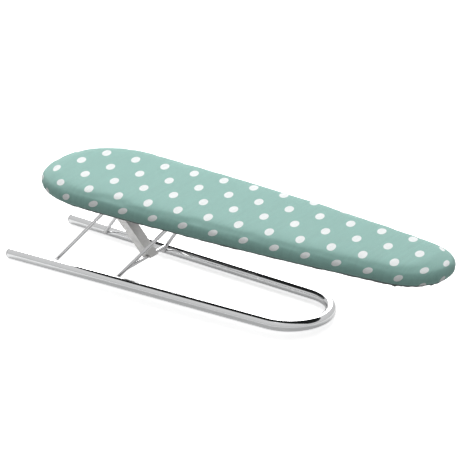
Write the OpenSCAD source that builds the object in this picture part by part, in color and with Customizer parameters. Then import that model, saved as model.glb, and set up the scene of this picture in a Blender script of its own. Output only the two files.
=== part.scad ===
// Table-top sleeve ironing board: padded tapering board carried on two wire bails
// above a bent tube base, held up by a channel brace that hooks onto a cross rod.
// Millimetres, +Z up, the narrow tip of the board points to +X.

/* [Base tube] */
// outside diameter of the base tube
tube_d = 12; // [10:0.5:14]
// wall thickness of the base tube
tube_wall = 1.2; // [1:0.1:1.6]
// length of the base from the open ends to the outside of the bend
base_len = 380; // [340:5:420]
// distance between the tube axes at the open ends
base_w = 112; // [100:1:120]
// radius of the bend, to the tube axis
bend_r = 44; // [38:1:48]

/* [Linkage] */
// wire diameter of the two bails and the cross rod
wire_d = 4; // [3:0.5:5]
// lean of the bails above the horizontal, in degrees
lean = 51; // [45:1:60]
// height of the bail top bars above the table
bar_z = 82; // [76:1:84]
// distance of the rear bail's feet from the open ends
rear_x = 55; // [50:1:62]
// distance from the rear bail to the front bail
pitch = 80.5; // [74:0.5:90]
// length of the rear bail's top bar, between wire axes
rear_top = 38; // [36:1:44]
// length of the front bail's top bar, between wire axes
front_top = 22; // [20:1:30]
// distance of the cross rod up the front bail from its feet
rod_up = 14; // [13:0.5:16]

/* [Brace] */
// width of the channel brace
brace_w = 14; // [12:0.5:14]
// depth of the channel flanges
brace_h = 9; // [9:0.5:10]
// sheet thickness of the brace and its clevis
sheet = 1.2; // [1:0.1:1.4]
// sideways position of the brace
brace_y = 8; // [6:0.5:8]
// position of the brace hinge along the base
hinge_x = 91; // [88:0.5:94]
// height of the brace hinge above the table
hinge_z = 73; // [71:0.5:74]

/* [Board] */
// length of the padded board
board_len = 502; // [460:2:520]
// width of the padded board at its wide end
board_w = 143.5; // [130:0.5:150]
// width the taper reaches at the tip, before rounding
tip_w = 80; // [76:1:90]
// position of the board's wide end along the base
board_x = 24.2; // [20:0.2:30]
// height of the underside of the deck
deck_z = 88.5; // [88:0.5:92]
// thickness of the deck
deck_t = 9; // [8:0.5:12]
// thickness of the felt underlay
felt_t = 2; // [1.5:0.5:3]
// thickness of the foam pad in the middle of the board
foam_t = 7.6; // [7:0.2:10]
// thickness of the cotton cover
cloth = 0.8; // [0.6:0.1:1]

/* [Hidden] */
$fn = 48;
tube_r = tube_d / 2;
wire_r = wire_d / 2;
fit = 0.06;                        // running clearance on the radius
slack = 0.3;                       // clearance of the pivot that closes the linkage
gap = 0.05;                        // between pieces that only lie on each other
lap = 0.3;                         // how far a straight run and its bend reach into each other
draw = 0.02;                       // drawn down on the radius where they do
wire_bend = 4;                     // bend radius of the wires, to the axis

plug_t = 2;                        // head of an end plug
half_w = base_w / 2;
bend_x = base_len - tube_r - bend_r;
taper_a = atan(half_w / bend_x) - asin(bend_r / sqrt(bend_x * bend_x + half_w * half_w));
leg_len = bend_x + bend_r * sin(taper_a);
leg_run = leg_len / cos(taper_a);
function leg_y(x) = half_w - x * tan(taper_a);
function foot_y(x) = leg_y(x) - tube_r / cos(taper_a) - wire_bend;

rise = bar_z - tube_r;
link = rise / sin(lean);
run = link * cos(lean);
front_x = rear_x + pitch;

rod_x = front_x + rod_up * cos(lean);
rod_z = tube_r + rod_up * sin(lean);
brace_a = atan((hinge_z - rod_z) / (rod_x - hinge_x));
brace_len = (hinge_z - rod_z) / sin(brace_a);
web_v = brace_h - 5;               // web above the pin axis
hook_r = wire_r + 0.25;
pin_r = 2;

deck_top = deck_z + deck_t;
felt_z = deck_top + gap;
foam_z = felt_z + felt_t;
cover_low = deck_z - gap - cloth;
cover_top = foam_z + foam_t + gap + cloth;
under_r = 9;                       // radius of the cover's lower edge
deck_in = 9.2;                     // how far the deck lies in from the edge
roll_z = cover_low + under_r + 0.1;
roll_in = 36;                      // how far in from the edge the top keeps rising
roll_h = cover_top - roll_z;
roll_power = 3;                    // squareness of the roll, 2 is an ellipse
hem_in = 20;
hem_w = 7;
mid_x = (board_x + board_len) / 2; // middle of the whole object

screw_r = 1.45;
saddle_x = 12;                     // screw spacing from a top bar
clevis_back = [10, 19];            // screws of the clevis, behind its pin
clevis_len = 23;
m = 40;                            // points along each side of the board outline

// ---- helpers

module place() translate([-mid_x, 0, 0]) children();

// round bar between two points
module bar(p, q, r) {
    v = q - p;
    len = norm(v);
    translate(p) rotate([0, acos(v[2] / len), atan2(v[1], v[0])]) cylinder(r = r, h = len);
}

// board outline, drawn in by d all round
function body_w(x, d) =
    (board_w / 2 - d) - (board_w - tip_w) / 2 * pow(x / (board_len - 2 * d), 2.45);
function wide_end(x, a) = x < a ? pow(1 - pow(1 - x / a, 2.29), 1 / 2.29) : 1;
function tip_end(x, a) = x < a ? pow(1 - pow(1 - x / a, 2.35), 1 / 2.35) : 1;
function edge_x(i, d) = (board_len - 2 * d) * (1 - cos(180 * i / m)) / 2;
function edge_y(i, d) = (i == 0 || i == m) ? 0
    : body_w(edge_x(i, d), d) * wide_end(edge_x(i, d), 84 - d)
      * tip_end(board_len - 2 * d - edge_x(i, d), 46 - d);
function outline(d) = [
    for (i = [0 : m]) [board_x + d + edge_x(i, d), -edge_y(i, d)],
    for (i = [m - 1 : -1 : 1]) [board_x + d + edge_x(i, d), edge_y(i, d)]];

module slab(d, z, t) translate([0, 0, z]) linear_extrude(t) polygon(outline(d));

// solid through outline rings, listed upwards as [drawn in, height]
module rings(list) {
    k = 2 * m;
    top = len(list) - 1;
    points = [for (p = list) each [for (q = outline(p[0])) [q[0], q[1], p[1]]]];
    faces = [
        [for (i = [0 : k - 1]) i],
        [for (i = [k - 1 : -1 : 0]) top * k + i],
        for (j = [0 : top - 1]) for (i = [0 : k - 1]) each [
            [j * k + i, (j + 1) * k + i, (j + 1) * k + (i + 1) % k],
            [j * k + i, (j + 1) * k + (i + 1) % k, j * k + (i + 1) % k]]];
    polyhedron(points = points, faces = faces);
}

// point on the rolled top, shrunk by s from the outer face, t degrees round the roll
function roll(t, s) = [roll_in - (roll_in - s) * pow(cos(t), 2 / roll_power),
                       roll_z + (roll_h - s) * pow(sin(t), 2 / roll_power)];

// point on the rounded lower edge, t degrees below the horizontal
function under(t, s) =
    [under_r - (under_r - s) * cos(t), cover_low + under_r - (under_r - s) * sin(t)];

// edge section of the cover, shrunk by s from its outer face
function cover_edge(s) = concat(
    [for (t = [90 : -15 : 0]) under(t, s)],
    [for (t = [0 : 10 : 90]) roll(t, s)]);

module saddle_spots(x) for (s = [-1, 1]) translate([x + s * saddle_x, 0, 0]) children();
module clevis_spots() for (back = clevis_back) translate([hinge_x - back, brace_y, 0]) children();

module pilot() translate([0, 0, deck_z - 1]) cylinder(r = screw_r + gap, h = 8.5);
module strap_hole() translate([0, 0, deck_z - 3]) cylinder(r = screw_r + 0.15, h = 4);

module deck_screw(z) {
    translate([0, 0, z - 1.6]) cylinder(r1 = 2, r2 = 2.8, h = 1.6);
    translate([0, 0, z]) cylinder(r = screw_r, h = 7);
}

// ---- base

module leg_axis(side) translate([0, side * half_w, tube_r])
    rotate([0, 0, -side * taper_a]) rotate([0, 90, 0]) children();

module tube_run(r) {
    for (s = [-1, 1]) leg_axis(s) translate([0, 0, plug_t]) cylinder(r = r, h = leg_run - plug_t);
    reach = 90 - taper_a + 0.5;
    translate([bend_x, 0, tube_r]) rotate([0, 0, -reach])
        rotate_extrude(angle = 2 * reach) translate([bend_r, 0]) circle(r = r - draw);
}

module base_tube() color("silver") place() difference() {
    tube_run(tube_r);
    tube_run(tube_r - tube_wall);
    for (s = [-1, 1]) leg_axis(s) cylinder(r = tube_r - tube_wall, h = plug_t + 1);
    // pivot holes through the inner walls only
    for (x = [rear_x, front_x]) for (s = [-1, 1])
        translate([x, s * (leg_y(x) - 1), tube_r]) rotate([s * 90, 0, 0])
            cylinder(r = wire_r + fit, h = tube_r + 4);
}

module end_plug(side) color("gainsboro") place() leg_axis(side) {
    intersection() {
        cylinder(r = tube_r, h = plug_t);
        translate([0, 0, 14]) sphere(r = 14);
    }
    cylinder(r = tube_r - tube_wall - 0.03, h = 11);
}

module end_plug_near() end_plug(-1);
module end_plug_far() end_plug(1);

// ---- wires

// bent wire through a list of points, every corner rounded to the bend radius
module wire(p, r) {
    n = len(p);
    dir = [for (i = [0 : n - 2]) (p[i + 1] - p[i]) / norm(p[i + 1] - p[i])];
    turn = [for (i = [1 : n - 2]) acos(dir[i - 1] * dir[i])];
    cut = [0, for (t = turn) wire_bend * tan(t / 2), 0];
    for (i = [0 : n - 2])
        bar(p[i] + dir[i] * max(cut[i] - lap, 0), p[i + 1] - dir[i] * max(cut[i + 1] - lap, 0),
            r - draw);
    for (i = [1 : n - 2]) {
        toward = (dir[i] - dir[i - 1]) / norm(dir[i] - dir[i - 1]);
        mid = p[i] + toward * wire_bend / cos(turn[i - 1] / 2);
        ex = (p[i] - dir[i - 1] * cut[i] - mid) / wire_bend;
        ey = dir[i - 1];
        ez = cross(ex, ey);
        multmatrix([[ex[0], ey[0], ez[0], mid[0]], [ex[1], ey[1], ez[1], mid[1]],
                    [ex[2], ey[2], ez[2], mid[2]], [0, 0, 0, 1]])
            rotate_extrude(angle = turn[i - 1]) translate([wire_bend, 0]) circle(r = r);
    }
}

module bail(x, top_w, r) {
    foot = foot_y(x);
    wire([[x, leg_y(x) - 2, tube_r], [x, foot, tube_r], [x + run, top_w / 2, bar_z],
          [x + run, -top_w / 2, bar_z], [x, -foot, tube_r], [x, 2 - leg_y(x), tube_r]], r);
}

module rear_bail() color("lightgrey") place() bail(rear_x, rear_top, wire_r);
module front_bail() color("lightgrey") place() bail(front_x, front_top, wire_r);

// rod between the legs of the front bail, its ends coped to the wire
module cross_rod() color("lightgrey") place() difference() {
    foot = foot_y(front_x);
    y = foot - (foot - front_top / 2) * rod_up / link - 0.3;
    translate([rod_x, 0, rod_z]) rotate([90, 0, 0]) cylinder(r = wire_r, h = 2 * y, center = true);
    bail(front_x, front_top, wire_r + gap);
}

// ---- board

module deck() color("dimgray") place() difference() {
    slab(deck_in, deck_z, deck_t);
    for (x = [rear_x, front_x]) saddle_spots(x + run) pilot();
    clevis_spots() pilot();
}

module felt_underlay() color("whitesmoke") place() slab(deck_in, felt_z, felt_t);

// foam wraps over the felt and down round the edge of the deck
module foam_pad() color("lemonchiffon") place() difference() {
    s = cloth + 0.2;
    rings(concat(
        [for (t = [50 : -12.5 : 0]) under(t, s)],
        [for (t = [0 : 15 : 90]) roll(t, s)]));
    slab(deck_in - 2 * gap, deck_z - 1, foam_z + gap - deck_z + 1);
}

module cotton_cover() color("mediumaquamarine") place() difference() {
    rings(cover_edge(0));
    rings(cover_edge(cloth));
    slab(hem_in, cover_low - 1, 3);
}

module hem_casing() color("darkslategray") place() difference() {
    slab(hem_in + gap, deck_z - 2.3, 2.2);
    slab(hem_in + hem_w, deck_z - 3, 4);
    difference() {
        slab(hem_in + 1, deck_z - 1.75, 1.1);
        slab(hem_in + hem_w - 1, deck_z - 2, 2);
    }
}

module hem_elastic() color("white") place() difference() {
    slab(hem_in + 1.1, deck_z - 1.7, 1);
    slab(hem_in + hem_w - 1.1, deck_z - 2, 2);
}

// ---- fittings under the deck

module saddle(x, w, clear) difference() {
    union() {
        translate([x - saddle_x - 5, -w / 2, deck_z - 1.5]) cube([2 * saddle_x + 10, w, 1.5 - gap]);
        translate([x - wire_r - 1, -w / 2, bar_z]) cube([2 * wire_r + 2, w, deck_z - bar_z - 1]);
        translate([x, 0, bar_z]) rotate([90, 0, 0]) cylinder(r = wire_r + 1.5, h = w, center = true);
    }
    translate([x, 0, bar_z]) rotate([90, 0, 0])
        cylinder(r = wire_r + clear, h = w + 2, center = true);
    saddle_spots(x) strap_hole();
}

module rear_saddle() color("silver") place() saddle(rear_x + run, 18, fit);
module front_saddle() color("silver") place() saddle(front_x + run, 12, slack);

module saddle_screws() color("dimgray") place()
    for (x = [rear_x, front_x]) saddle_spots(x + run) deck_screw(deck_z - 1.5 - gap);

module brace_clevis() color("silver") place() {
    w = brace_w - 2 * sheet - 0.6;
    difference() {
        translate([hinge_x, brace_y, 0]) {
            translate([-clevis_len, -w / 2, deck_z - 1.5]) cube([clevis_len + 4.5, w, 1.5 - gap]);
            for (s = [-1, 1]) translate([0, s * (w / 2 - sheet / 2), 0]) {
                translate([-4.5, -sheet / 2, hinge_z]) cube([9, sheet, deck_z - hinge_z - 1]);
                translate([0, 0, hinge_z]) rotate([90, 0, 0])
                    cylinder(r = 4.5, h = sheet, center = true);
            }
        }
        translate([hinge_x, brace_y, hinge_z]) rotate([90, 0, 0])
            cylinder(r = pin_r + fit, h = 40, center = true);
        clevis_spots() strap_hole();
    }
}

module clevis_screws() color("dimgray") place() clevis_spots() deck_screw(deck_z - 1.5 - gap);

// local frame of the brace: X runs down its length from the pin, Z out of its web
module brace_frame() place() translate([hinge_x, brace_y, hinge_z]) rotate([0, brace_a, 0]) children();

module brace_channel() color("gainsboro") brace_frame() difference() {
    union() {
        for (s = [-1, 1]) translate([0, s * (brace_w - sheet) / 2, 0]) {
            translate([0, -sheet / 2, -5]) cube([brace_len - 1.2, sheet, brace_h]);
            rotate([90, 0, 0]) cylinder(r = 5, h = sheet, center = true);
        }
        translate([7, -brace_w / 2, web_v - sheet]) cube([brace_len - 7, brace_w, sheet]);
        // rolled catch at the lower end
        translate([brace_len, 0, 0]) rotate([90, 0, 0])
            cylinder(r = hook_r + 1.5, h = brace_w, center = true);
        translate([brace_len, -brace_w / 2, hook_r]) cube([3.5, brace_w, web_v - hook_r]);
    }
    // pin hole, rod seat and the open side of the catch
    rotate([90, 0, 0]) cylinder(r = pin_r + fit, h = 40, center = true);
    translate([brace_len, 0, 0]) rotate([90, 0, 0]) cylinder(r = hook_r, h = 40, center = true);
    translate([brace_len, -20, -hook_r]) cube([20, 40, 2 * hook_r]);
    translate([brace_len - 0.8, -20, -20]) cube([20, 40, 20]);
    // ends of the flanges above the pin are relieved for the clevis
    translate([-6, -brace_w / 2 - 1, 5]) cube([13, brace_w + 2, 5]);
}

module brace_pin() color("dimgray") place() translate([hinge_x, brace_y, hinge_z]) rotate([90, 0, 0]) {
    cylinder(r = pin_r, h = brace_w + 3, center = true);
    translate([0, 0, brace_w / 2 + 0.1]) cylinder(r = 3.6, h = 1.4);
}

module pin_cap() color("dimgray") place() translate([hinge_x, brace_y, hinge_z]) rotate([-90, 0, 0])
    difference() {
        translate([0, 0, brace_w / 2 + 0.1]) cylinder(r = 3.4, h = 1.2);
        cylinder(r = pin_r + 0.02, h = 40);
    }

base_tube();
end_plug_near();
end_plug_far();
rear_bail();
front_bail();
cross_rod();
deck();
felt_underlay();
foam_pad();
cotton_cover();
hem_casing();
hem_elastic();
rear_saddle();
front_saddle();
saddle_screws();
brace_clevis();
clevis_screws();
brace_channel();
brace_pin();
pin_cap();
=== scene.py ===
"""Table-top sleeve ironing board: the soft goods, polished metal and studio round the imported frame."""
import math
import random

import bmesh
import bpy
import numpy as np
from mathutils import Matrix, Vector


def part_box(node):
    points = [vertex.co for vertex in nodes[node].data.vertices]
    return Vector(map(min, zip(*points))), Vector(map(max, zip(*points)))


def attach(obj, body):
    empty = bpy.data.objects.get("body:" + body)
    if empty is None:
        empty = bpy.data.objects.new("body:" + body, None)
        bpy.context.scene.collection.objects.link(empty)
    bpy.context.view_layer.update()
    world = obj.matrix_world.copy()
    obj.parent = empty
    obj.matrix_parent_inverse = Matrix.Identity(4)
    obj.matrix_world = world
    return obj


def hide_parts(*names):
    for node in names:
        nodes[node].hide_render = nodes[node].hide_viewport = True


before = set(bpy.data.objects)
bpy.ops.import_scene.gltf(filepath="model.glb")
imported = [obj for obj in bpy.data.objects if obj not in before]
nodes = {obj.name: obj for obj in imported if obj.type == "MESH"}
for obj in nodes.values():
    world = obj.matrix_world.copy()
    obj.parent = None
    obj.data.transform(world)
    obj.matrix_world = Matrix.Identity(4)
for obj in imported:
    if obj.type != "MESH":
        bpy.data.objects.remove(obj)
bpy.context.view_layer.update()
scene = bpy.context.scene


# ---------------------------------------------------------------- camera

def aim_camera():
    """Long lens, a little above the board, from the front right."""
    data = bpy.data.cameras.new("camera")
    data.lens = 317.5
    data.sensor_width = 36.0
    data.clip_end = 60.0
    camera = bpy.data.objects.new("camera", data)
    scene.collection.objects.link(camera)
    turn, lift = math.radians(34.89), math.radians(24.05)
    back = Vector((math.sin(turn) * math.cos(lift), -math.cos(turn) * math.cos(lift), math.sin(lift)))
    target = Vector((-0.0957, 0.1333, 0.0))
    camera.location = target + back * 4.551
    camera.rotation_euler = back.to_track_quat("Z", "Y").to_euler()
    scene.camera = camera


aim_camera()

# ---------------------------------------------------------------- sizes read from the frame

deck_low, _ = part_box("deck")
cover_low, cover_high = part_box("cotton_cover")
tail = cover_low.x                       # wide end of the padded board
board_len = cover_high.x - cover_low.x
half_wide = (cover_high.y - cover_low.y) / 2 * 1.0063
half_tip = half_wide - 0.03175


# ---------------------------------------------------------------- board outline

def body_width(x, inset):
    return (half_wide - inset) - (half_wide - half_tip) * (x / (board_len - 2 * inset)) ** 2.45


def round_end(x, reach, power):
    return (1 - (1 - min(x, reach) / reach) ** power) ** (1 / power)


def outline_point(phi, inset):
    """Point on the outline drawn in by inset; phi runs once round from the tip."""
    span = board_len - 2 * inset
    x = span * (1 + math.cos(phi)) / 2
    reach_tail, reach_tip = 0.084 - inset, 0.046 - inset
    y = body_width(x, inset) * round_end(x, reach_tail, 2.29) * round_end(span - x, reach_tip, 2.35)
    return Vector((tail + inset + x, math.copysign(y, math.sin(phi)), 0))


RING = 240


def add_ring(bm, inset, z, count=RING):
    made = bmesh.ops.create_circle(bm, segments=count, radius=1, cap_ends=False)["verts"]
    for v in made:
        phi = math.atan2(v.co.y, v.co.x)
        v.co = outline_point(phi, inset) + Vector((0, 0, z))
    edges = {e for v in made for e in v.link_edges}
    return made, list(edges)


def loft_rings(bm, section, close_low=True, close_high=True, count=RING):
    """Skins outline rings listed upwards as (inset, height)."""
    rings = [add_ring(bm, inset, z, count) for inset, z in section]
    for (_, low), (_, high) in zip(rings, rings[1:]):
        bmesh.ops.bridge_loops(bm, edges=low + high)
    if close_low:
        bmesh.ops.contextual_create(bm, geom=rings[0][1])
    if close_high:
        bmesh.ops.contextual_create(bm, geom=rings[-1][1])
    bmesh.ops.recalc_face_normals(bm, faces=bm.faces)
    return rings


def piece_from(bm, name, smooth=True):
    mesh = bpy.data.meshes.new(name)
    bm.to_mesh(mesh)
    bm.free()
    if smooth:
        for p in mesh.polygons:
            p.use_smooth = True
    obj = bpy.data.objects.new(name, mesh)
    scene.collection.objects.link(obj)
    return obj


def add_modifier(obj, kind, **settings):
    mod = obj.modifiers.new(kind.lower(), kind)
    for key, value in settings.items():
        setattr(mod, key, value)
    return mod


def apply_modifiers(obj):
    """Puts the result of the piece's modifiers into its mesh."""
    bpy.context.view_layer.update()
    graph = bpy.context.evaluated_depsgraph_get()
    mesh = bpy.data.meshes.new_from_object(obj.evaluated_get(graph))
    obj.modifiers.clear()
    obj.data = mesh


def points_of(mesh):
    co = np.zeros(len(mesh.vertices) * 3)
    mesh.vertices.foreach_get("co", co)
    return co.reshape(-1, 3)


def set_points(mesh, co):
    mesh.vertices.foreach_set("co", np.ascontiguousarray(co, float).ravel())
    mesh.update()


# ---------------------------------------------------------------- edge of the board, seen end on

cloth_t = 0.0006                         # thickness of the cotton
low_z = cover_low.z
under_roll = 0.009                       # radius of the cover's lower edge
roll_z = low_z + under_roll + 0.0001     # height at which the side starts to roll over
roll_in = 0.036                          # how far in from the edge the top keeps rising
roll_h = cover_high.z - roll_z
roll_power = 3.0                         # squareness of the roll
hem_in = 0.0235                          # middle of the hem, in from the edge


def rolled(angle, shrink=0.0):
    """Point on the rolled top, angle degrees round the roll, as (inset, height)."""
    a = math.radians(angle)
    across = max(0.0, math.cos(a)) ** (2 / roll_power)
    up = math.sin(a) ** (2 / roll_power)
    return roll_in - (roll_in - shrink) * across, roll_z + (roll_h - shrink) * up


def tucked(angle, shrink=0.0):
    """Point on the rounded lower edge, angle degrees below the horizontal, as (inset, height)."""
    a = math.radians(angle)
    r = under_roll - shrink
    return under_roll - r * math.cos(a), low_z + under_roll - r * math.sin(a)


def edge_section(shrink=0.0):
    """Edge of the cover from underneath, round the side, to the top."""
    low = low_z + shrink
    section = [(0.034, low), (hem_in, low), (0.016, low)]
    section += [tucked(90 - 12.5 * t, shrink) for t in range(8)]
    return section + [rolled(7.5 * t, shrink) for t in range(13)]


dense = np.array([outline_point(math.pi * 2 * (i + 0.5) / 960, 0)[:2] for i in range(960)])
tangent = np.roll(dense, -1, 0) - np.roll(dense, 1, 0)
outward = np.c_[tangent[:, 1], -tangent[:, 0]]
outward /= np.linalg.norm(outward, axis=1)[:, None]
around = np.r_[0, np.cumsum(np.linalg.norm(np.diff(dense, axis=0), axis=1))]


def edge_distance(co):
    """Distance in from the outline, and the nearest outline sample, for each point."""
    distance = np.empty(len(co))
    nearest = np.empty(len(co), int)
    for i in range(0, len(co), 4000):
        gap = co[i:i + 4000, None, :2] - dense[None]
        j = (gap ** 2).sum(2).argmin(1)
        nearest[i:i + 4000] = j
        distance[i:i + 4000] = -((co[i:i + 4000, :2] - dense[j]) * outward[j]).sum(1)
    return distance, nearest


def ripple(run, seed, waves):
    """Uneven waves along the edge, as (length, share) pairs added up."""
    random.seed(seed)
    total = np.zeros(len(run))
    for length, share in waves:
        start, drift = random.uniform(0, 6.28), random.uniform(0, 6.28)
        bend = 1.6 * np.sin(run * 2 * math.pi / (length * 5.3) + drift)
        total += share * np.sin(run * 2 * math.pi / length + start + bend)
    return total


# way the edge faces, and the way the print slants there, both in degrees from the tip
PRINT_FACING = (-180, -140, -90, -10, 40, 90, 180)
PRINT_SLANT = (-180, -100, -55, -30, 30, 90, 180)
PRINT_DRAW = 2.24                        # how much faster the print runs down the sides


def lay_cloth(obj, section):
    """Gives the piece flat cloth coordinates in metres for its weave, and others for its print.

    The weave follows the cloth as it is folded down the sides. The print is drawn in at the sides,
    slanting towards the tip, so that its rows stay evenly spaced when the board is seen from the front.
    """
    path = np.array([q for q in section[::-1] if q[0] <= roll_in + 1e-6])
    fold = np.r_[0, np.cumsum(np.linalg.norm(np.diff(path, axis=0), axis=1))]
    co = points_of(obj.data)
    distance, nearest = edge_distance(co)
    spot = np.c_[distance, co[:, 2]]
    best = np.full(len(co), 9.0)
    length = np.zeros(len(co))
    for a, b, start in zip(path, path[1:], fold):
        step = b - a
        t = np.clip(((spot - a) @ step) / (step @ step), 0, 1)
        gap = np.linalg.norm(spot - a - t[:, None] * step, axis=1)
        near = gap < best
        best[near] = gap[near]
        length[near] = start + t[near] * np.linalg.norm(step)
    on_top = (distance > roll_in) & (co[:, 2] > roll_z)
    folded = dense[nearest] - outward[nearest] * (roll_in - length)[:, None]
    flat = np.where(on_top[:, None], co[:, :2], folded)
    drop = np.maximum(cover_high.z - co[:, 2], 0)[:, None]
    facing = np.degrees(np.arctan2(outward[nearest][:, 1], outward[nearest][:, 0]))
    slant = np.radians(np.interp(facing, PRINT_FACING, PRINT_SLANT))
    printed = co[:, :2] + PRINT_DRAW * drop * np.c_[np.cos(slant), np.sin(slant)]
    loops = np.zeros(len(obj.data.loops), int)
    obj.data.loops.foreach_get("vertex_index", loops)
    for name, place in (("cloth", flat), ("print", printed)):
        uv = obj.data.uv_layers.new(name=name)
        uv.data.foreach_set("uv", place[loops].astype(np.float32).ravel())
    return fold[-1] - roll_in


# ---------------------------------------------------------------- cotton cover

def normals_of(mesh):
    normals = np.zeros(len(mesh.vertices) * 3)
    mesh.vertices.foreach_get("normal", normals)
    return normals.reshape(-1, 3)


def swell(obj, pressure, out, inward, frames=20):
    """Blows the closed cloth up, and keeps each point within out and inward of where it began."""
    before = points_of(obj.data).copy()
    normals = normals_of(obj.data).copy()
    cloth = obj.modifiers.new("cloth", "CLOTH")
    settings = cloth.settings
    settings.quality = 6
    settings.mass = 0.3
    settings.tension_stiffness = 25
    settings.compression_stiffness = 25
    settings.bending_stiffness = 2.0
    settings.use_pressure = True
    settings.uniform_pressure_force = pressure
    settings.effector_weights.gravity = 0
    for f in range(1, frames + 1):
        scene.frame_set(f)
    graph = bpy.context.evaluated_depsgraph_get()
    after = points_of(obj.evaluated_get(graph).data).copy()
    obj.modifiers.clear()
    scene.frame_set(1)
    move = after - before
    along = (move * normals).sum(1)
    side = move - along[:, None] * normals
    size = np.linalg.norm(side, axis=1)
    side *= np.minimum(1, out / 2 / np.maximum(size, 1e-9))[:, None]
    set_points(obj.data, before + normals * np.clip(along, -inward, out)[:, None] + side)


def make_cover():
    bm = bmesh.new()
    loft_rings(bm, edge_section())
    cover = piece_from(bm, "padded_cover")
    add_modifier(cover, "REMESH", mode="VOXEL", voxel_size=0.004, use_smooth_shade=True)
    apply_modifiers(cover)
    swell(cover, 4.0, 0.0014, 0.0001)
    add_modifier(cover, "SUBSURF", levels=1, render_levels=1)
    apply_modifiers(cover)
    gather_cloth(cover)
    bm = bmesh.new()
    bm.from_mesh(cover.data)
    distance, _ = edge_distance(points_of(cover.data))
    inside = [v for v in bm.verts if distance[v.index] > hem_in - 0.001 and v.co.z < low_z + 0.004]
    bmesh.ops.delete(bm, geom=inside, context="VERTS")
    bm.to_mesh(cover.data)
    bm.free()
    wrap = lay_cloth(cover, edge_section())
    add_modifier(cover, "SOLIDIFY", thickness=cloth_t, offset=-1.0)
    for face in cover.data.polygons:
        face.use_smooth = True
    return cover, wrap


def gather_cloth(obj):
    """Small folds that the elastic draws into the lower edge, strongest round the two ends."""
    co = points_of(obj.data)
    distance, nearest = edge_distance(co)
    wave = ripple(around[nearest], 7, ((0.0172, 1.0), (0.0113, 0.7), (0.0079, 0.5), (0.031, 0.6)))
    middle = tail + board_len / 2
    ends = np.clip((np.abs(co[:, 0] - middle) - board_len * 0.26) / (board_len * 0.2), 0.3, 1)
    low = np.clip((low_z + 0.010 - co[:, 2]) / 0.010, 0, 1)
    under = low * np.clip(distance / 0.010, 0, 1)
    side = low * np.clip(1 - distance / 0.006, 0, 1)
    co[:, 2] += 0.0005 * wave * ends * under - 0.0004 * under
    co[:, :2] += outward[nearest] * (0.0003 * (wave + 0.6) * ends * side)[:, None]
    set_points(obj.data, co)


# ---------------------------------------------------------------- shader building

def new_group(name, inputs, outputs):
    group = bpy.data.node_groups.new(name, "ShaderNodeTree")
    for label, kind, value in inputs:
        socket = group.interface.new_socket(label, in_out="INPUT", socket_type=kind)
        if value is not None:
            socket.default_value = value
    for label, kind in outputs:
        group.interface.new_socket(label, in_out="OUTPUT", socket_type=kind)
    return group, group.nodes.new("NodeGroupInput"), group.nodes.new("NodeGroupOutput")


class Wiring:
    """Short names for adding and joining shader nodes."""

    def __init__(self, tree):
        self.tree = tree

    def add(self, kind, settings=None, **sockets):
        node = self.tree.nodes.new("ShaderNode" + kind)
        for key, value in (settings or {}).items():
            setattr(node, key, value)
        for key, value in sockets.items():
            self.feed(node.inputs[key.replace("_", " ")], value)
        return node

    def feed(self, socket, value):
        if isinstance(value, bpy.types.NodeSocket):
            self.tree.links.new(value, socket)
        else:
            socket.default_value = value

    def sum(self, operation, *values, clamp=False):
        node = self.tree.nodes.new("ShaderNodeMath")
        node.operation = operation
        node.use_clamp = clamp
        for socket, value in zip(node.inputs, values):
            self.feed(socket, value)
        return node.outputs[0]

    def mix(self, factor, a, b, blend="MIX"):
        node = self.tree.nodes.new("ShaderNodeMix")
        node.data_type = "RGBA"
        node.blend_type = blend
        self.feed(node.inputs[0], factor)
        self.feed(node.inputs[6], a)
        self.feed(node.inputs[7], b)
        return node.outputs[2]

    def ramp(self, factor, stops):
        node = self.tree.nodes.new("ShaderNodeValToRGB")
        self.feed(node.inputs[0], factor)
        bar = node.color_ramp
        while len(bar.elements) < len(stops):
            bar.elements.new(0.5)
        for element, (place, colour) in zip(bar.elements, stops):
            element.position = place
            element.color = colour if len(colour) == 4 else (*colour, 1)
        return node.outputs[0]

    def spread(self, value, low, high, to_low, to_high):
        node = self.tree.nodes.new("ShaderNodeMapRange")
        for socket, v in zip(node.inputs, (value, low, high, to_low, to_high)):
            self.feed(socket, v)
        return node.outputs[0]


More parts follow.
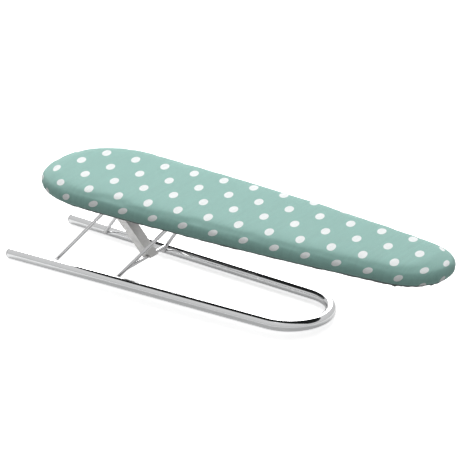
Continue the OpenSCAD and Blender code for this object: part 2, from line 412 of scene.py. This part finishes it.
def cloth_group():
    """Plain weave in cloth coordinates: thread height, slubs and the gaps between threads, which carry
    painted shade.
    """
    group, inp, out = new_group("plain_weave",
        [("Cloth", "NodeSocketVector", None), ("Threads per mm", "NodeSocketFloat", 1.6)],
        [("Height", "NodeSocketFloat"), ("Gap", "NodeSocketFloat"), ("Slub", "NodeSocketFloat")])
    w = Wiring(group)
    cloth, pitch = inp.outputs[0], inp.outputs[1]
    rate = w.sum("MULTIPLY", pitch, 1000 * math.pi)
    split = w.add("SeparateXYZ", Vector=cloth)
    wobble = w.add("TexNoise", {"noise_dimensions": "2D"}, Vector=cloth, Scale=210.0, Detail=2.0)
    drift = w.sum("MULTIPLY", w.sum("SUBTRACT", wobble.outputs[0], 0.5), 1.4)
    warp = w.sum("SINE", w.sum("ADD", w.sum("MULTIPLY", split.outputs[0], rate), drift))
    weft = w.sum("SINE", w.sum("ADD", w.sum("MULTIPLY", split.outputs[1], rate), drift))
    over = w.sum("MULTIPLY", warp, weft)
    warp_h = w.sum("ABSOLUTE", warp)
    weft_h = w.sum("ABSOLUTE", weft)
    pick = w.sum("GREATER_THAN", over, 0.0)
    under = w.sum("SUBTRACT", 1.0, pick)
    height = w.sum("ADD", w.sum("MULTIPLY", pick, warp_h), w.sum("MULTIPLY", under, weft_h))
    gap = w.sum("SUBTRACT", 1.0, w.sum("MAXIMUM", warp_h, weft_h), clamp=True)
    stretch = w.add("Mapping", Vector=cloth, Scale=(260.0, 26.0, 1.0))
    slub = w.add("TexNoise", Vector=stretch.outputs[0], Scale=1.0, Detail=3.0)
    w.feed(out.inputs[0], height)
    w.feed(out.inputs[1], gap)
    w.feed(out.inputs[2], slub.outputs[0])
    return group


def oval_form(long_r, short_r, lean):
    """Factors of x², xy and y² whose sum is 1 along the rim of a leaning oval."""
    c, s = math.cos(lean), math.sin(lean)
    a, b = 1 / long_r ** 2, 1 / short_r ** 2
    return a * c * c + b * s * s, 2 * c * s * (a - b), a * s * s + b * c * c


def dots_group():
    """Staggered, leaning oval dots."""
    group, inp, out = new_group("printed_dots", [("Place", "NodeSocketVector", None)],
                                [("Dot", "NodeSocketFloat")])
    w = Wiring(group)
    split = w.add("SeparateXYZ", Vector=inp.outputs[0])
    noise = w.add("TexNoise", {"noise_dimensions": "2D"}, Vector=inp.outputs[0], Scale=900.0, Detail=2.0)
    x = w.sum("SUBTRACT", split.outputs[0], DOT_START[0])
    y = w.sum("SUBTRACT", split.outputs[1], DOT_START[1])
    (ax, ay), (bx, by) = DOT_ROWS
    det = ax * by - bx * ay
    # lattice coordinates, then the nearest dot of the four round the point
    p = w.sum("ADD", w.sum("MULTIPLY", x, by / det), w.sum("MULTIPLY", y, -bx / det))
    q = w.sum("ADD", w.sum("MULTIPLY", x, -ay / det), w.sum("MULTIPLY", y, ax / det))
    best = None
    p0, q0 = w.sum("FLOOR", p), w.sum("FLOOR", q)
    form = oval_form(*DOT_SHAPE)
    for i in (0, 1):
        for j in (0, 1):
            dp = w.sum("SUBTRACT", w.sum("SUBTRACT", p, p0), float(i))
            dq = w.sum("SUBTRACT", w.sum("SUBTRACT", q, q0), float(j))
            dx = w.sum("ADD", w.sum("MULTIPLY", dp, ax), w.sum("MULTIPLY", dq, bx))
            dy = w.sum("ADD", w.sum("MULTIPLY", dp, ay), w.sum("MULTIPLY", dq, by))
            square = w.sum("MULTIPLY", w.sum("MULTIPLY", dx, dx), form[0])
            square = w.sum("ADD", square, w.sum("MULTIPLY", w.sum("MULTIPLY", dx, dy), form[1]))
            square = w.sum("ADD", square, w.sum("MULTIPLY", w.sum("MULTIPLY", dy, dy), form[2]))
            r = w.sum("SQRT", square)
            best = r if best is None else w.sum("MINIMUM", best, r)
    edge = w.sum("ADD", best, w.sum("MULTIPLY", w.sum("SUBTRACT", noise.outputs[0], 0.5), 0.05))
    w.feed(out.inputs[0], w.spread(edge, 0.97, 1.04, 1.0, 0.0))
    return group


def grain_group():
    """Fine mottling with faint scratches, for plated and painted sheet."""
    group, inp, out = new_group("surface_grain",
        [("Place", "NodeSocketVector", None), ("Scale", "NodeSocketFloat", 60.0)],
        [("Mottle", "NodeSocketFloat"), ("Scratch", "NodeSocketFloat")])
    w = Wiring(group)
    mottle = w.add("TexNoise", Vector=inp.outputs[0], Scale=inp.outputs[1], Detail=4.0, Roughness=0.6)
    stretch = w.add("Mapping", Vector=inp.outputs[0], Scale=(30.0, 900.0, 900.0))
    scratch = w.add("TexNoise", Vector=stretch.outputs[0], Scale=2.0, Detail=3.0)
    w.feed(out.inputs[0], mottle.outputs[0])
    w.feed(out.inputs[1], w.spread(scratch.outputs[0], 0.62, 0.72, 0.0, 1.0))
    return group


# two steps from dot to dot, in metres, and the place of one dot
DOT_ROWS = ((0.0368, 0.0027), (0.0261, -0.0284))
DOT_START = (0.0056, -0.0145)
DOT_SHAPE = (0.0081, 0.0048, math.radians(115))

weave_nodes = cloth_group()
dot_nodes = dots_group()
grain_nodes = grain_group()


def new_material(name):
    material = bpy.data.materials.new(name)
    material.use_nodes = True
    tree = material.node_tree
    shader = tree.nodes["Principled BSDF"]
    return material, Wiring(tree), shader


def placed(w, group, **sockets):
    node = w.tree.nodes.new("ShaderNodeGroup")
    node.node_tree = group
    for key, value in sockets.items():
        w.feed(node.inputs[key.replace("_", " ")], value)
    return node


def shade(tone, factor=1.0):
    """The tone, lighter or darker, as an opaque colour."""
    return (*[min(1, c * factor) for c in tone], 1)


def bump(w, shader, height, distance, strength=1.0):
    node = w.add("Bump", Height=height, Distance=distance, Strength=strength)
    w.feed(shader.inputs["Normal"], node.outputs[0])


def cotton(name, ground, dots=True):
    material, w, shader = new_material(name)
    cloth = w.add("UVMap", {"uv_map": "cloth"}).outputs[0]
    weave = placed(w, weave_nodes, Cloth=cloth, Threads_per_mm=1.6)
    slub = w.spread(weave.outputs["Slub"], 0.3, 0.7, 0.0, 1.0)
    base = w.mix(slub, shade(ground, 0.95), shade(ground, 1.04))
    if dots:
        faces = w.add("SeparateXYZ", Vector=w.add("TexCoord").outputs["Normal"])
        dot = placed(w, dot_nodes, Place=w.add("UVMap", {"uv_map": "print"}).outputs[0]).outputs[0]
        white = w.mix(slub, (0.80, 0.82, 0.82, 1), (0.88, 0.90, 0.90, 1))
        base = w.mix(dot, base, white)
        # painted shade: where the cloth faces downwards, on the strip that is tucked under, it is coloured
        # near-black to stand in for the shade beneath the board
        base = w.mix(w.spread(faces.outputs[2], -0.55, -0.75, 0.0, 1.0), base, shade(PAINTED_SHADE_BLACK))
    # painted shade: the gaps between threads are darkened to 0.72 of the colour
    dim = w.spread(weave.outputs["Gap"], 0.0, 1.0, 1.0, 0.72)
    base = w.mix(1.0, base, w.add("CombineColor", Red=dim, Green=dim, Blue=dim).outputs[0], "MULTIPLY")
    w.feed(shader.inputs["Base Color"], base)
    w.feed(shader.inputs["Roughness"], w.spread(slub, 0, 1, 0.82, 0.92))
    shader.inputs["Specular IOR Level"].default_value = 0.3
    shader.inputs["Sheen Weight"].default_value = 0.25
    shader.inputs["Sheen Roughness"].default_value = 0.5
    shader.inputs["Sheen Tint"].default_value = (0.9, 1.0, 1.0, 1)
    height = w.sum("ADD", weave.outputs["Height"], w.sum("MULTIPLY", slub, 0.5))
    bump(w, shader, height, 0.00012, 0.6)
    return material


def twisted_thread(name, tone):
    """Sewing thread: slanting plies, with a painted highlight on their crowns and painted shade between
    them.
    """
    material, w, shader = new_material(name)
    place = w.add("TexCoord").outputs["Object"]
    slant = w.add("Mapping", Vector=place, Rotation=(0.0, 0.0, math.radians(35)))
    ply = w.add("TexWave", Vector=slant.outputs[0], Scale=900.0, Distortion=1.0)
    # painted highlight and shade: plies lighter (1.3) on their crowns, darker (0.7) between them
    w.feed(shader.inputs["Base Color"], w.mix(ply.outputs["Fac"], shade(tone, 0.7), shade(tone, 1.3)))
    w.feed(shader.inputs["Roughness"], w.spread(ply.outputs["Fac"], 0, 1, 0.75, 0.55))
    bump(w, shader, ply.outputs["Fac"], 0.00004, 0.5)
    return material


def polished(name, tone, rough, scale=45.0):
    material, w, shader = new_material(name)
    place = w.add("TexCoord").outputs["Object"]
    grain = placed(w, grain_nodes, Place=place, Scale=scale)
    mottle = grain.outputs["Mottle"]
    w.feed(shader.inputs["Base Color"], w.mix(mottle, shade(tone, 0.96), shade(tone, 1.02)))
    shader.inputs["Metallic"].default_value = 1.0
    dull = w.spread(mottle, 0.3, 0.7, rough * 0.8, rough * 1.25)
    scratch = w.sum("MULTIPLY", grain.outputs["Scratch"], 0.03)
    w.feed(shader.inputs["Roughness"], w.sum("ADD", dull, scratch))
    bump(w, shader, mottle, 0.00002, 0.25)
    return material


def plated_sheet(name, tone, rough):
    material, w, shader = new_material(name)
    place = w.add("TexCoord").outputs["Object"]
    grain = placed(w, grain_nodes, Place=place, Scale=120.0)
    spangle = w.add("TexVoronoi", {"feature": "F1"}, Vector=place, Scale=420.0)
    mottle = grain.outputs["Mottle"]
    tint = w.mix(spangle.outputs["Color"], shade(tone, 0.94), shade(tone, 1.04))
    cloud = w.spread(mottle, 0.35, 0.65, 0.0, 0.25)
    w.feed(shader.inputs["Base Color"], w.mix(cloud, tint, shade(tone, 0.86)))
    shader.inputs["Metallic"].default_value = 0.75
    dull = w.spread(mottle, 0.3, 0.7, rough * 0.85, rough * 1.2)
    scratch = grain.outputs["Scratch"]
    w.feed(shader.inputs["Roughness"], w.sum("ADD", dull, w.sum("MULTIPLY", scratch, 0.08)))
    bump(w, shader, w.sum("ADD", mottle, w.sum("MULTIPLY", scratch, -0.4)), 0.00004, 0.4)
    return material


def moulded(name, tone, rough=0.45):
    material, w, shader = new_material(name)
    place = w.add("TexCoord").outputs["Object"]
    fine = w.add("TexVoronoi", {"feature": "SMOOTH_F1"}, Vector=place, Scale=2600.0)
    wide = w.add("TexNoise", Vector=place, Scale=80.0, Detail=3.0)
    w.feed(shader.inputs["Base Color"], w.mix(wide.outputs[0], shade(tone, 0.93), shade(tone)))
    w.feed(shader.inputs["Roughness"], w.spread(wide.outputs[0], 0.3, 0.7, rough * 0.9, rough * 1.15))
    bump(w, shader, fine.outputs[0], 0.00003, 0.4)
    return material


def fibreboard(name, tone):
    material, w, shader = new_material(name)
    place = w.add("TexCoord").outputs["Object"]
    long = w.add("Mapping", Vector=place, Scale=(1.0, 3.5, 3.5))
    fibre = w.add("TexNoise", Vector=long.outputs[0], Scale=700.0, Detail=5.0, Roughness=0.7)
    cloud = w.add("TexNoise", Vector=place, Scale=28.0, Detail=4.0)
    fleck = w.spread(fibre.outputs[0], 0.42, 0.62, 0.0, 1.0)
    base = w.mix(fleck, shade(tone, 0.86), shade(tone))
    worn = (tone[0] * 0.92, tone[1] * 0.9, tone[2] * 0.85, 1)
    w.feed(shader.inputs["Base Color"], w.mix(w.spread(cloud.outputs[0], 0.3, 0.7, 0.0, 0.35), base, worn))
    w.feed(shader.inputs["Roughness"], w.spread(fleck, 0, 1, 0.72, 0.58))
    bump(w, shader, fibre.outputs[0], 0.00008, 0.5)
    return material


def soft_filling(name, tone, cell):
    material, w, shader = new_material(name)
    place = w.add("TexCoord").outputs["Object"]
    cells = w.add("TexVoronoi", Vector=place, Scale=cell)
    w.feed(shader.inputs["Base Color"], w.mix(cells.outputs["Distance"], shade(tone), shade(tone, 0.75)))
    w.feed(shader.inputs["Roughness"], w.spread(cells.outputs["Distance"], 0, 1, 0.85, 1.0))
    bump(w, shader, cells.outputs["Distance"], 0.0004, 0.7)
    return material


SEA_GREEN = (0.265, 0.475, 0.425)
# near-black used as painted shade on the underside of the cover and on the hem
PAINTED_SHADE_BLACK = (0.016, 0.018, 0.018)
cover_cotton = cotton("dotted_cotton", SEA_GREEN)
# painted shade: the hem casing is coloured near-black to stand in for the shade under the board's edge
hem_shade_black_cotton = cotton("hem_shade_black_cotton", PAINTED_SHADE_BLACK, dots=False)
thread = twisted_thread("sewing_thread", (0.10, 0.10, 0.10))
chrome = polished("bright_chrome", (0.60, 0.605, 0.61), 0.08)
bright_wire = polished("plated_wire", (0.50, 0.50, 0.505), 0.06, 90.0)
zinc = plated_sheet("zinc_sheet", (0.56, 0.555, 0.545), 0.42)
brace_zinc = plated_sheet("brace_zinc", (0.60, 0.595, 0.585), 0.40)
dark_screw = polished("blackened_steel", (0.20, 0.20, 0.21), 0.35, 200.0)
grey_plug = moulded("grey_end_plug", (0.74, 0.74, 0.745))
# painted shade: the deck is coloured near-black to stand in for the shade under the board
shade_black_deck = fibreboard("shade_darkened_fibreboard", (0.030, 0.028, 0.027))
foam_fill = soft_filling("open_cell_foam", (0.82, 0.78, 0.62), 900.0)
felt_fill = soft_filling("pressed_felt", (0.72, 0.71, 0.68), 1800.0)
elastic_knit = soft_filling("knitted_elastic", (0.8, 0.8, 0.78), 1200.0)


def finish_in(obj, material):
    obj.data.materials.clear()
    obj.data.materials.append(material)
    return obj


# ---------------------------------------------------------------- soft pieces

def seat_soft(obj, material, slot, *stands_for):
    finish_in(obj, material)
    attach(obj, "board")
    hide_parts(*stands_for)
    return obj


def close_ring(bm, section, count=RING):
    """Skins outline rings listed once round a closed section."""
    rings = [add_ring(bm, inset, z, count) for inset, z in section]
    for (_, low), (_, high) in zip(rings, rings[1:] + rings[:1]):
        bmesh.ops.bridge_loops(bm, edges=low + high)
    bmesh.ops.recalc_face_normals(bm, faces=bm.faces)


def oval_section(inset, z, half_width, half_height, sides=10):
    turn = 2 * math.pi / sides
    return [(inset + half_width * math.cos(k * turn), z - half_height * math.sin(k * turn))
            for k in range(sides)]


def make_hem():
    """Rolled casing on the cover's edge, gathered by the elastic inside it."""
    half_width, half_height = 0.0034, 0.00105
    middle_z = deck_low.z - half_height - 0.00008
    bm = bmesh.new()
    close_ring(bm, oval_section(hem_in, middle_z, half_width, half_height), 360)
    hem = piece_from(bm, "hem_roll")
    co = points_of(hem.data)
    distance, nearest = edge_distance(co)
    wave = ripple(around[nearest], 11, ((0.0098, 1.0), (0.0067, 0.7), (0.0141, 0.8)))
    side = np.clip((distance - hem_in) / half_width, -1, 1)
    co[:, 2] += 0.00016 * wave * (1 - 0.5 * np.abs(side))
    co[:, :2] -= outward[nearest] * (0.00035 * wave * side)[:, None]
    co[:, 2] = np.minimum(co[:, 2], deck_low.z - 0.00005)
    set_points(hem.data, co)
    uv = hem.data.uv_layers.new(name="cloth")
    loops = np.zeros(len(hem.data.loops), int)
    hem.data.loops.foreach_get("vertex_index", loops)
    flat = dense[nearest] + outward[nearest] * (0.03 + distance)[:, None]
    uv.data.foreach_set("uv", flat[loops].astype(np.float32).ravel())
    add_modifier(hem, "SUBSURF", levels=1, render_levels=1)
    return hem


def make_stitches():
    """One row of machine stitches that holds the casing down."""
    row_in, pitch, length, radius = hem_in - 0.0028, 0.0031, 0.0021, 0.00022
    z = deck_low.z - 0.00195
    total = around[-1]
    count = int(total * 0.955 / pitch)
    bm = bmesh.new()
    for k in range(count):
        i = int(np.searchsorted(around, total * k / count))
        spot = dense[i] - outward[i] * row_in
        turn = math.atan2(outward[i][0], -outward[i][1])
        made = bmesh.ops.create_uvsphere(bm, u_segments=6, v_segments=4, radius=1)["verts"]
        bmesh.ops.scale(bm, vec=(length / 2, radius, radius * 0.8), verts=made)
        bmesh.ops.rotate(bm, cent=(0, 0, 0), matrix=Matrix.Rotation(turn, 3, "Z"), verts=made)
        bmesh.ops.translate(bm, vec=(spot[0], spot[1], z), verts=made)
    return piece_from(bm, "hem_stitches")


def make_elastic():
    """Flat knitted band inside the casing."""
    bm = bmesh.new()
    close_ring(bm, oval_section(hem_in, deck_low.z - 0.00115, 0.0022, 0.00045, 8))
    return piece_from(bm, "hem_elastic_band")


def make_foam():
    """Foam pad wrapped over the felt and down round the edge of the deck."""
    shrink = 0.0016
    hollow_in = deck_low.x - tail - 0.0001
    ceiling = felt_high.z + 0.0001
    skirt = tucked(50, shrink)
    section = [(hollow_in, ceiling), (hollow_in, skirt[1])]
    section += [tucked(50 - 10 * t, shrink) for t in range(6)]
    section += [rolled(7.5 * t, shrink) for t in range(13)]
    bm = bmesh.new()
    loft_rings(bm, section)
    return piece_from(bm, "foam_filling")


def make_felt():
    """Felt cut to the deck, its edge a little fuzzy and uneven."""
    bm = bmesh.new()
    low, high = felt_low.z, felt_high.z
    edge = felt_low.x - tail
    section = [(edge + 0.0004, low), (edge, low + 0.0005), (edge, high - 0.0005), (edge + 0.0004, high)]
    loft_rings(bm, section, count=360)
    felt = piece_from(bm, "felt_sheet")
    co = points_of(felt.data)
    _, nearest = edge_distance(co)
    wave = ripple(around[nearest], 5, ((0.0125, 1.0), (0.0043, 0.6)))
    co[:, :2] += outward[nearest] * (0.00012 * wave)[:, None]
    set_points(felt.data, co)
    return felt


felt_low, felt_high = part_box("felt_underlay")

cover_piece, wrap = make_cover()
cover = seat_soft(cover_piece, cover_cotton, "cover", "cotton_cover")
hem = seat_soft(make_hem(), hem_shade_black_cotton, "hem", "hem_casing")
stitches = seat_soft(make_stitches(), thread, "hem")
elastic = seat_soft(make_elastic(), elastic_knit, "elastic", "hem_elastic")
foam = seat_soft(make_foam(), foam_fill, "foam", "foam_pad")
felt = seat_soft(make_felt(), felt_fill, "felt", "felt_underlay")

ahead = np.roll(dense, -1, 0)
board_area = 0.5 * float((dense[:, 0] * ahead[:, 1] - ahead[:, 0] * dense[:, 1]).sum())

for name, material in (("base_tube", chrome), ("end_plug_near", grey_plug), ("end_plug_far", grey_plug),
                       ("rear_bail", bright_wire), ("front_bail", bright_wire), ("cross_rod", bright_wire),
                       ("deck", shade_black_deck), ("rear_saddle", zinc), ("front_saddle", zinc),
                       ("saddle_screws", dark_screw), ("brace_clevis", zinc), ("clevis_screws", dark_screw),
                       ("brace_channel", brace_zinc), ("brace_pin", dark_screw), ("pin_cap", dark_screw)):
    finish_in(nodes[name], material)

# ---------------------------------------------------------------- studio

def make_floor():
    """Plain white paper, a touch brighter to the eye than to the light that bounces off it."""
    bm = bmesh.new()
    bmesh.ops.create_grid(bm, x_segments=2, y_segments=2, size=20.0)
    bmesh.ops.translate(bm, vec=(0, 0, -0.0002), verts=bm.verts)
    floor = piece_from(bm, "floor", smooth=False)
    material, w, shader = new_material("floor_paper")
    place = w.add("TexCoord").outputs["Object"]
    fine = w.add("TexNoise", Vector=place, Scale=300.0, Detail=3.0)
    white = w.mix(fine.outputs[0], (0.92, 0.92, 0.92, 1), (0.94, 0.94, 0.94, 1))
    path = w.add("LightPath")
    w.feed(shader.inputs["Base Color"], w.mix(path.outputs["Is Diffuse Ray"], white, (0.32, 0.32, 0.32, 1)))
    shader.inputs["Roughness"].default_value = 0.9
    shader.inputs["Specular IOR Level"].default_value = 0.1
    shader.inputs["Emission Color"].default_value = (1, 1, 1, 1)
    glow = w.sum("ADD", w.sum("MULTIPLY", path.outputs["Is Camera Ray"], 0.35), 0.3)
    w.feed(shader.inputs["Emission Strength"],
           w.sum("MULTIPLY", glow, w.spread(path.outputs["Is Diffuse Ray"], 0, 1, 1.0, 0.0)))
    # clear when it is looked at from below
    w.feed(shader.inputs["Alpha"], w.sum("SUBTRACT", 1.0, w.add("NewGeometry").outputs["Backfacing"]))
    finish_in(floor, material)


def add_light(name, place, aim, size, power, size_y=None):
    data = bpy.data.lights.new(name, "AREA")
    data.energy = power
    data.size = size
    if size_y:
        data.shape = "RECTANGLE"
        data.size_y = size_y
    light = bpy.data.objects.new(name, data)
    light.location = place
    light.rotation_euler = (Vector(place) - Vector(aim)).to_track_quat("Z", "Y").to_euler()
    scene.collection.objects.link(light)


def light_world():
    """Dim surroundings for the cloth, a pale tent for the polished metal."""
    world = bpy.data.worlds.new("studio")
    world.use_nodes = True
    scene.world = world
    w = Wiring(world.node_tree)
    background = world.node_tree.nodes["Background"]
    split = w.add("SeparateXYZ", Vector=w.add("TexCoord").outputs["Generated"])
    tent = w.ramp(w.spread(split.outputs[2], 0.0, 1.0, 0.0, 1.0),
                  [(0.0, (0.80, 0.80, 0.80)), (0.35, (0.90, 0.90, 0.90)), (1.0, (1, 1, 1))])
    soft = w.ramp(w.spread(split.outputs[2], 0.0, 1.0, 0.0, 1.0),
                  [(0.0, (0.42, 0.42, 0.42)), (0.4, (0.40, 0.40, 0.40)), (1.0, (0.6, 0.6, 0.6))])
    path = w.add("LightPath")
    w.feed(background.inputs[0], w.mix(path.outputs["Is Diffuse Ray"], tent, soft))
    background.inputs[1].default_value = 1.0


make_floor()
add_light("big_window", (-1.7, 2.3, 1.9), (0, 0, 0.09), 2.2, 120)
add_light("top_box", (-0.2, 0.3, 2.6), (0, 0, 0), 2.0, 12)
light_world()
scene.view_settings.view_transform = "Standard"
